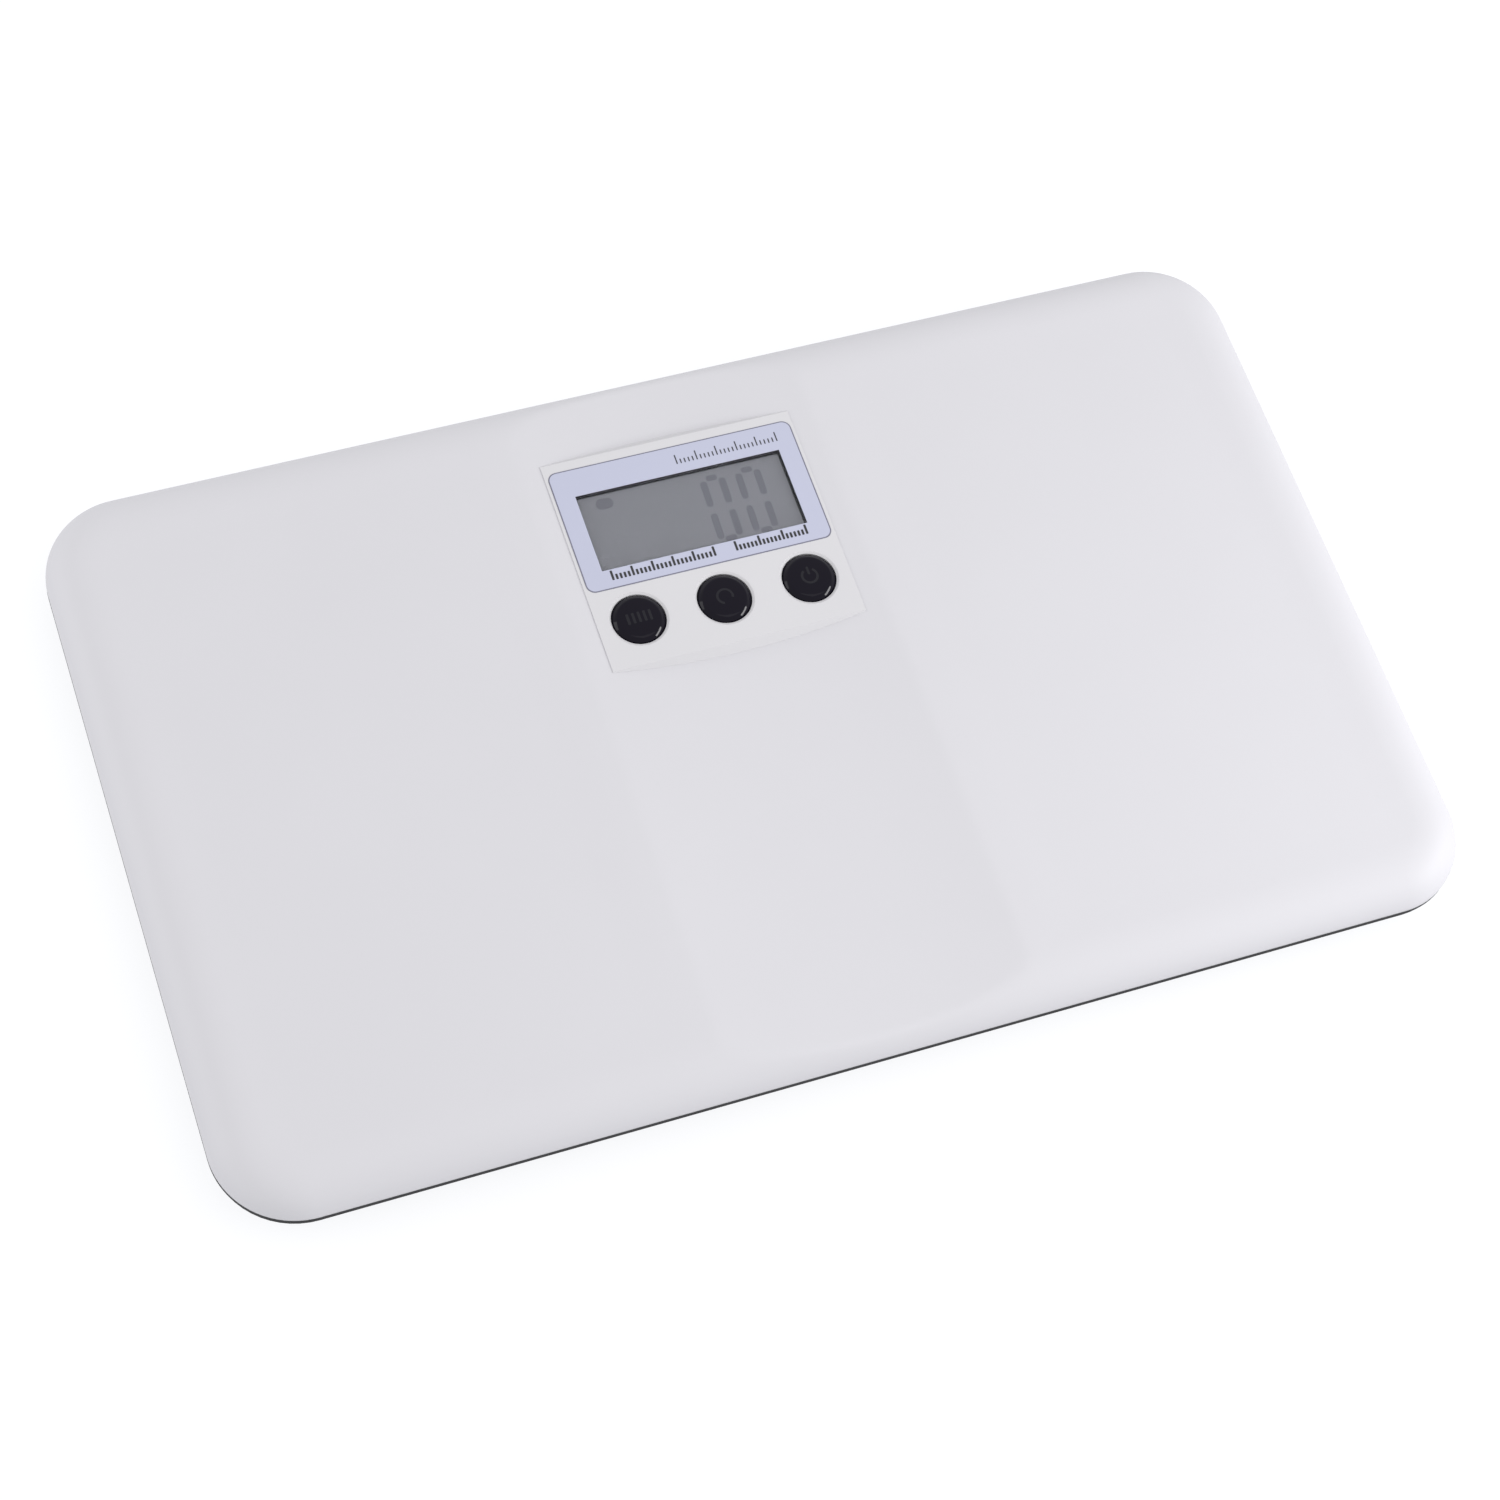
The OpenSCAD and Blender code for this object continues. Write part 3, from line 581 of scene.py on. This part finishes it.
def tick_row(name, material, x0, x1, y0, count, width, tall, short, every):
    """Upright ticks on one base line, tall and short like the marks of a dial."""
    z = LABEL_HIGH.z
    r = min(width / 2, TICK_R) - PIECE_GAP
    points, faces = [], []
    for i in range(count):
        x = x0 + (x1 - x0 - width) * i / (count - 1)
        top = y0 + (tall if i % every == 0 else short)
        prism(round_rect(x, y0, x + width, top, r, 3), z + PRINT_LIFT, z + PRINT_TOP, points, faces)
    add_piece(name, points, faces, material, "casing", smooth=False)


def add_digits():
    """Faint seven-segment zeros, leaning a little, and a round sign on the polariser."""
    z0, z1 = GLASS_TOP_Z + PRINT_LIFT, GLASS_TOP_Z + SEGMENT_TOP
    y0, y1 = DIGITS_LOW_Y, DIGITS_HIGH_Y
    middle = (y0 + y1) / 2
    half = DIGIT_STROKE / 2
    points, faces = [], []

    def mark(x0, low, x1, high, r):
        outline = [(x + DIGIT_LEAN * (y - middle), y) for x, y in round_rect(x0, low, x1, high, r, 3)]
        prism(outline, z0, z1, points, faces)

    for left, right in DIGITS_X:
        for x in (left, right):
            for low, high in ((y0, middle - DIGIT_HALF_GAP), (middle + DIGIT_HALF_GAP, y1)):
                mark(x - half, low, x + half, high, UPRIGHT_R)
        for y, (low, high) in ((y0, DIGIT_FOOT), (y1, DIGIT_HEAD)):
            mark(left + half + DIGIT_CROSS_GAP, y + low, right - half - DIGIT_CROSS_GAP, y + high, CROSS_R)
    add_piece("lcd_digits", points, faces, DIGIT_MAT, "casing", smooth=False)
    points, faces = [], []
    sign = round_rect(SIGN_X[0], y1 + SIGN_REACH[0], SIGN_X[1], y1 + SIGN_REACH[1], SIGN_R)
    prism(sign, z0, z1, points, faces)
    add_piece("lcd_sign", points, faces, DIGIT_MAT, "casing", smooth=False)


def add_painted_window_shade(name, z0, z1, near, far):
    """Four dark bars round the opening, painted shade of its recess: near is the width of the left and front
    ones, far of the others.
    """
    x0, y0 = OPENING_LOW
    x1, y1 = OPENING_HIGH
    g = PIECE_GAP
    points, faces = [], []
    for xa, ya, xb, yb in ((x0, y0, x0 + near, y1), (x1 - far, y0, x1, y1),
                           (x0 + near, y0, x1 - far, y0 + near), (x0 + near, y1 - far, x1 - far, y1)):
        bar = [(xa + g, ya + g), (xb - g, ya + g), (xb - g, yb - g), (xa + g, yb - g)]
        prism(bar, z0, z1, points, faces)
    add_piece(name, points, faces, WINDOW_SHADE_MAT, "casing", smooth=False)


add_label_print()
tick_row("print_top", PRINT_GREY_MAT, x0=1.0, x1=48.3, y0=TOP_TICKS_Y, count=26, width=0.6, tall=4.8,
         short=2.4, every=5)
tick_row("print_low_left", PRINT_DARK_MAT, x0=-44.2, x1=3.4, y0=LOW_TICKS_Y, count=26, width=1.05, tall=4.8,
         short=2.7, every=5)
tick_row("print_low_right", PRINT_DARK_MAT, x0=12.5, x1=46.0, y0=LOW_TICKS_Y, count=19, width=1.05, tall=4.8,
         short=2.7, every=6)
add_digits()
# Painted shade on the walls of the opening.
add_painted_window_shade("painted_wall_shade", WINDOW_HIGH.z + SHADE_WALL_LIFT, LABEL_HIGH.z - SHADE_WALL_DROP,
                SHADE_WALL_T, SHADE_WALL_T)
# Painted shade round the edge of the glass, wider at the back and right.
add_painted_window_shade("painted_window_shade", GLASS_TOP_Z + PRINT_LIFT, GLASS_TOP_Z + PRINT_TOP,
                SHADE_NEAR_W, SHADE_FAR_W)
round_edges("display_bezel", 0.12)


# ---- Buttons ----

def cap_dome_z(top_z, r):
    return top_z - CAP_DOME_R + math.sqrt(CAP_DOME_R ** 2 - r * r)


def cap_shoulder(top_z):
    """The arcs from the dome's edge down to the straight side, as points of (radius, z)."""
    spans = [(math.radians(a), math.radians(b), radius) for a, b, radius in CAP_ARCS]
    r = CAP_SIDE_R - sum(radius * (math.sin(b) - math.sin(a)) for a, b, radius in spans)
    z = cap_dome_z(top_z, r)
    line = [(r, z)]
    for a, b, radius in spans:
        for i in range(CAP_ARC_STEPS):
            tilt = a + (b - a) * (i + 1) / CAP_ARC_STEPS
            out = radius * (math.sin(tilt) - math.sin(a))
            down = radius * (math.cos(a) - math.cos(tilt))
            line.append((r + out, z - down))
        r, z = line[-1]
    return line


def button_profile(stem_z, top_z):
    """Closed section of a hollow cap: stem, hollow, flange, straight side, shoulder and shallow dome."""
    shoulder = cap_shoulder(top_z)
    flange_z = CAP_SKIRT_Z + CAP_FLANGE_T
    section = [(0.0, stem_z), (CAP_STEM_R, stem_z), (CAP_STEM_R, CAP_CEILING_Z),
               (CAP_HOLLOW_R, CAP_CEILING_Z), (CAP_HOLLOW_R, CAP_SKIRT_Z), (CAP_FLANGE_R, CAP_SKIRT_Z),
               (CAP_FLANGE_R, flange_z), (CAP_SIDE_R, flange_z)]
    section += shoulder[::-1]
    edge_r = shoulder[0][0]
    for i in range(CAP_DOME_STEPS):
        r = edge_r * (1 - (i + 1) / CAP_DOME_STEPS)
        section.append((r, cap_dome_z(top_z, r)))
    return section


def arc(cx, cy, start, stop):
    """Outline of a curved stroke of the ring's size."""
    outer, inner = [], []
    for i in range(ARC_STEPS + 1):
        a = math.radians(start + (stop - start) * i / ARC_STEPS)
        for side, r in ((outer, MARK_RING_R + MARK_STROKE / 2), (inner, MARK_RING_R - MARK_STROKE / 2)):
            side.append((cx + r * math.cos(a), cy + r * math.sin(a)))
    return outer + inner[::-1]


def bar(cx, half_w, y0, y1):
    """Outline of an upright stroke with rounded ends."""
    return round_rect(cx - half_w, y0, cx + half_w, y1, MARK_R)


def button_marks(side, cx, cy):
    """Plain signs: bars on the left button, an open ring on the middle one, a power sign on the right."""
    if side == "left":
        return [bar(cx + dx, BAR_HALF_W, cy - BAR_HALF_H, cy + BAR_HALF_H) for dx in BAR_X]
    if side == "middle":
        return [arc(cx, cy, -20, 250)]
    low, high = POWER_BAR_REACH
    return [arc(cx, cy, -235, 55), bar(cx, POWER_BAR_HALF_W, cy + low, cy + high)]


def add_button(side):
    low, high = low_high(f"button_cap_{side}")
    cx, cy = (low.x + high.x) / 2, (low.y + high.y) / 2
    top_z = high.z - MARK_H
    stem_z = low_high(f"switch_plunger_{side}")[1].z + CAP_STEM_GAP
    points, faces = lathe(button_profile(stem_z, top_z), CAP_TURNS, cx, cy)
    cap = add_piece(f"cap_{side}", points, faces, BUTTON_MAT, f"button_{side}", sharp=60)
    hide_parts(f"button_cap_{side}")
    flat, faces = [], []
    for outline in button_marks(side, cx, cy):
        prism(outline, -1, 1, flat, faces)
    points = [(x, y, cap_dome_z(top_z, math.hypot(x - cx, y - cy)) + z * MARK_H) for x, y, z in flat]
    add_piece(f"mark_{side}", points, faces, MARK_MAT, f"button_{side}", smooth=False)


for side in BUTTONS:
    add_button(side)


# ---- Tray, door, feet and load cells ----

def add_tray_lip():
    """Black lip of the tray, which shows as a thin line under the cover's edge."""
    outlines = []
    for inset in (LIP_INSET, LIP_W):
        outlines.append(round_rect(COVER_LOW.x + inset, COVER_LOW.y + inset, HALF_W - inset, HALF_D - inset,
                                   CORNER_R - inset, 24))
    points, faces = hoop(*outlines, LIP_LOW_Z, RIM_Z - LIP_GAP)
    add_piece("tray_lip", points, faces, TRAY_MAT, "casing", sharp=40)


def add_load_cell(corner):
    """A copy of a load cell's mesh in steel, attached to the casing in place of its CAD node."""
    node = NODES[f"load_cell_{corner}"]
    cell = new_object(f"cell_{corner}", node.data.copy())
    cell.matrix_world = node.matrix_world
    cell.data.materials.clear()
    cell.data.materials.append(CELL_MAT)
    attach(cell, "casing")
    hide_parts(f"load_cell_{corner}")
    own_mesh(cell)


add_tray_lip()
round_edges("battery_door", 0.25)
for corner in CORNERS:
    round_edges(f"foot_cap_{corner}", 0.3)
    add_load_cell(corner)


# ---- Studio, in metres ----

FLOOR_SIZE = 6.0
FLOOR_DROP = 0.0002
LIGHT_TARGET = (0, 0, 0.02)


def add_floor():
    """White paper that glows a little, so that the ground shows almost no shadow."""
    size = FLOOR_SIZE
    mesh = bpy.data.meshes.new("floor")
    mesh.from_pydata([(-size, -size, 0), (size, -size, 0), (size, size, 0), (-size, size, 0)], [],
                     [[0, 1, 2, 3]])
    floor = new_object("floor", mesh)
    floor.location.z = -FLOOR_DROP
    paper = moulded("floor_paper", [0.15, 0.153, 0.16], 0.9, grain=0.1, vary=0.005, specular=0.1)
    shader = paper.node_tree.nodes["Principled BSDF"]
    shader.inputs["Emission Color"].default_value = (0.98, 0.985, 1, 1)
    shader.inputs["Emission Strength"].default_value = 0.86
    mesh.materials.append(paper)


def add_area(name, place, width, height, power):
    data = bpy.data.lights.new(name, "AREA")
    data.shape = "RECTANGLE"
    data.size = width
    data.size_y = height
    data.energy = power
    light = new_object(name, data)
    light.location = place
    light.rotation_euler = (Vector(LIGHT_TARGET) - Vector(place)).to_track_quat("-Z", "Y").to_euler()


def add_world():
    world = bpy.data.worlds.new("studio")
    world.use_nodes = True
    background = world.node_tree.nodes["Background"]
    background.inputs["Color"].default_value = (1, 1, 1, 1)
    background.inputs["Strength"].default_value = 1.1
    bpy.context.scene.world = world


add_floor()
add_world()
add_area("top", (0.35, -0.5, 2.1), width=1.6, height=1.6, power=6.6)
add_area("key", (1.02, -0.47, 0.52), width=0.65, height=0.2, power=7.3)
add_area("side", (-1.25, 0.5, 0.45), width=0.6, height=0.6, power=3.0)
bpy.context.scene.view_settings.view_transform = "Standard"
